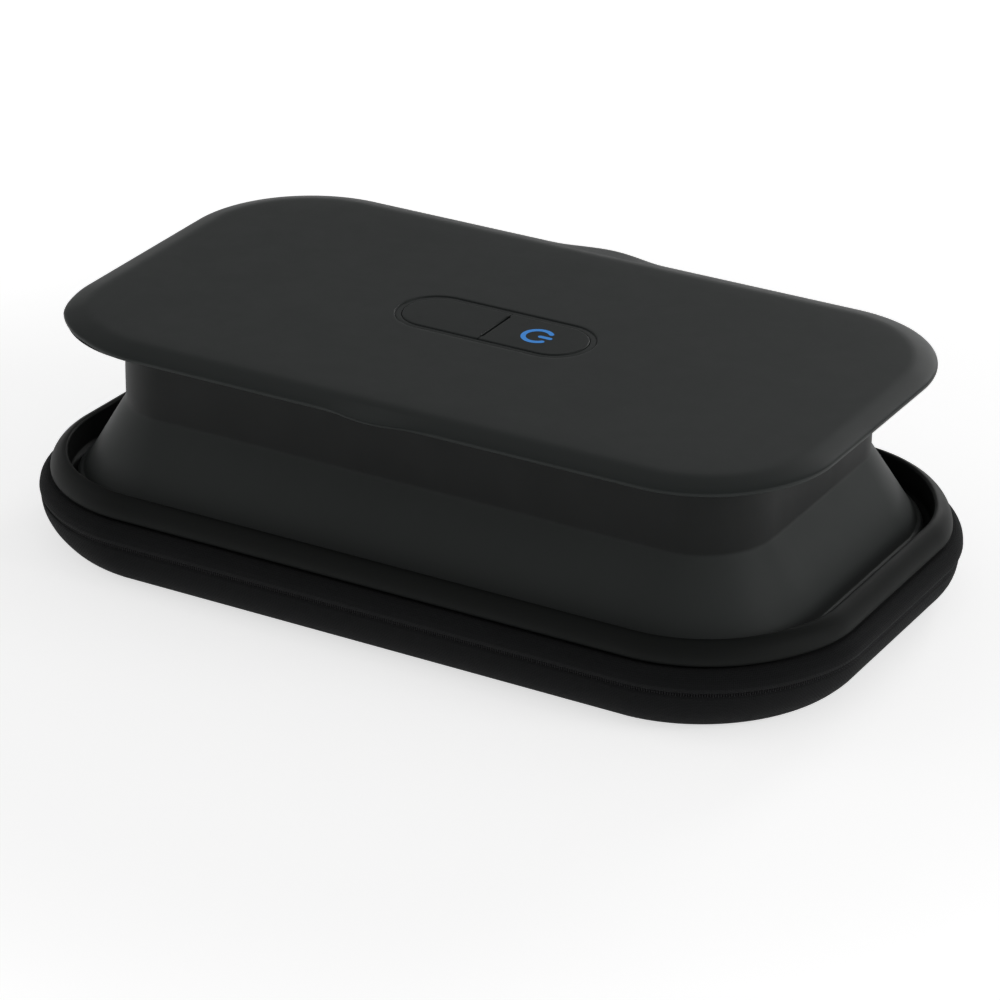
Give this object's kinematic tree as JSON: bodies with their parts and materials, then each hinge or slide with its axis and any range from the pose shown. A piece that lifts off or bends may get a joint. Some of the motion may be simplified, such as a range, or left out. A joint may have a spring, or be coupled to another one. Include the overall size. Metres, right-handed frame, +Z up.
{
  "type": "uv sanitizer box for phones",
  "caption": "Zip-up ultraviolet cleaning box for a phone, with a fold-down silicone wall under a rounded lid that holds the lamps and a power key.",
  "frame": {"origin": "middle of the flat underside", "axes": "+X along the box towards the power key's end, -Y the front long side, +Y the hinged back, +Z up"},
  "size_m": [0.2256, 0.134, 0.0621],
  "materials": {
    "soft_touch_plastic": "soft-touch matte",
    "inner_plastic": "fine matte",
    "silicone": "matte silicone",
    "case_fabric": "fine woven",
    "rim_plastic": "smooth satin",
    "zipper_coil": "nylon coil on tape",
    "zipper_metal": "black plated",
    "reflective_liner": "satin reflective film",
    "symbol_blue": "clear blue",
    "circuit_board": "solder mask",
    "chip_black": "moulded",
    "battery_wrap": "satin pouch",
    "foam": "open foam",
    "lamp_glass": "clear",
    "lamp_emitter": "clear dome",
    "reflector": "polished",
    "steel": "plain",
    "lead_insulation": "smooth"
  },
  "bodies": {
    "tray": {"tray_shell": "case_fabric", "tray_liner": "reflective_liner", "zipper_lower": "zipper_coil", "zipper_stop_right": "zipper_metal", "zipper_stop_left": "zipper_metal", "hinge_tape": "case_fabric"},
    "upper_case": {"side_band": "case_fabric", "rim_frame": "rim_plastic", "zipper_upper": "zipper_coil", "clamp_ring": "inner_plastic", "silicone_wall": "silicone"},
    "lid": {"lid_cover": "soft_touch_plastic", "lid_base": "inner_plastic", "badge_plate": "soft_touch_plastic", "tact_switch": "chip_black", "main_board": "circuit_board", "status_led": "lamp_emitter", "tilt_switch": "chip_black", "control_chip": "chip_black", "battery_pad": "foam", "battery_cell": "battery_wrap", "usb_port": "steel", "charge_board": "circuit_board", "battery_lead": "lead_insulation", "lamp_lead_right": "lead_insulation", "lamp_lead_left": "lead_insulation", "charge_lead": "lead_insulation", "lid_screw_1": "steel", "lid_screw_2": "steel", "lid_screw_3": "steel", "lid_screw_4": "steel", "lid_screw_5": "steel", "lid_screw_6": "steel", "lamp_window_right": "lamp_glass", "reflector_right": "reflector", "lamp_board_right": "circuit_board", "lamp_emitter_right": "lamp_emitter", "lamp_window_left": "lamp_glass", "reflector_left": "reflector", "lamp_board_left": "circuit_board", "lamp_emitter_left": "lamp_emitter"},
    "key": {"power_key": "soft_touch_plastic", "power_light_guide": "symbol_blue", "switch_plunger": "chip_black"},
    "slider": {"zipper_slider": "zipper_metal"},
    "pull": {"zipper_pull": "zipper_metal"}
  },
  "joints": [
    {"name": "case_hinge", "type": "hinge", "parent": "tray", "child": "upper_case", "pos_m": [0, 0.0651, 0.01135], "axis": [-1, 0, 0], "range_deg": [0, 100], "deforming": ["hinge_tape"]},
    {"name": "lid_slide", "type": "slide", "parent": "upper_case", "child": "lid", "axis": [0, 0, 1], "range_m": [-0.0362, 0], "deforming": ["silicone_wall"]},
    {"name": "key_press", "type": "slide", "parent": "lid", "child": "key", "axis": [0, 0, 1], "range_m": [-0.0008, 0], "stiffness_N_per_m": 1500},
    {"name": "slider_run", "type": "slide", "parent": "tray", "child": "slider", "axis": [-1, 0, 0], "range_m": [-0.022, 0]},
    {"name": "pull_swing", "type": "hinge", "parent": "slider", "child": "pull", "pos_m": [0.0433, 0.06675, 0.01065], "axis": [-1, 0, 0], "range_deg": [-100, 0]}
  ]
}
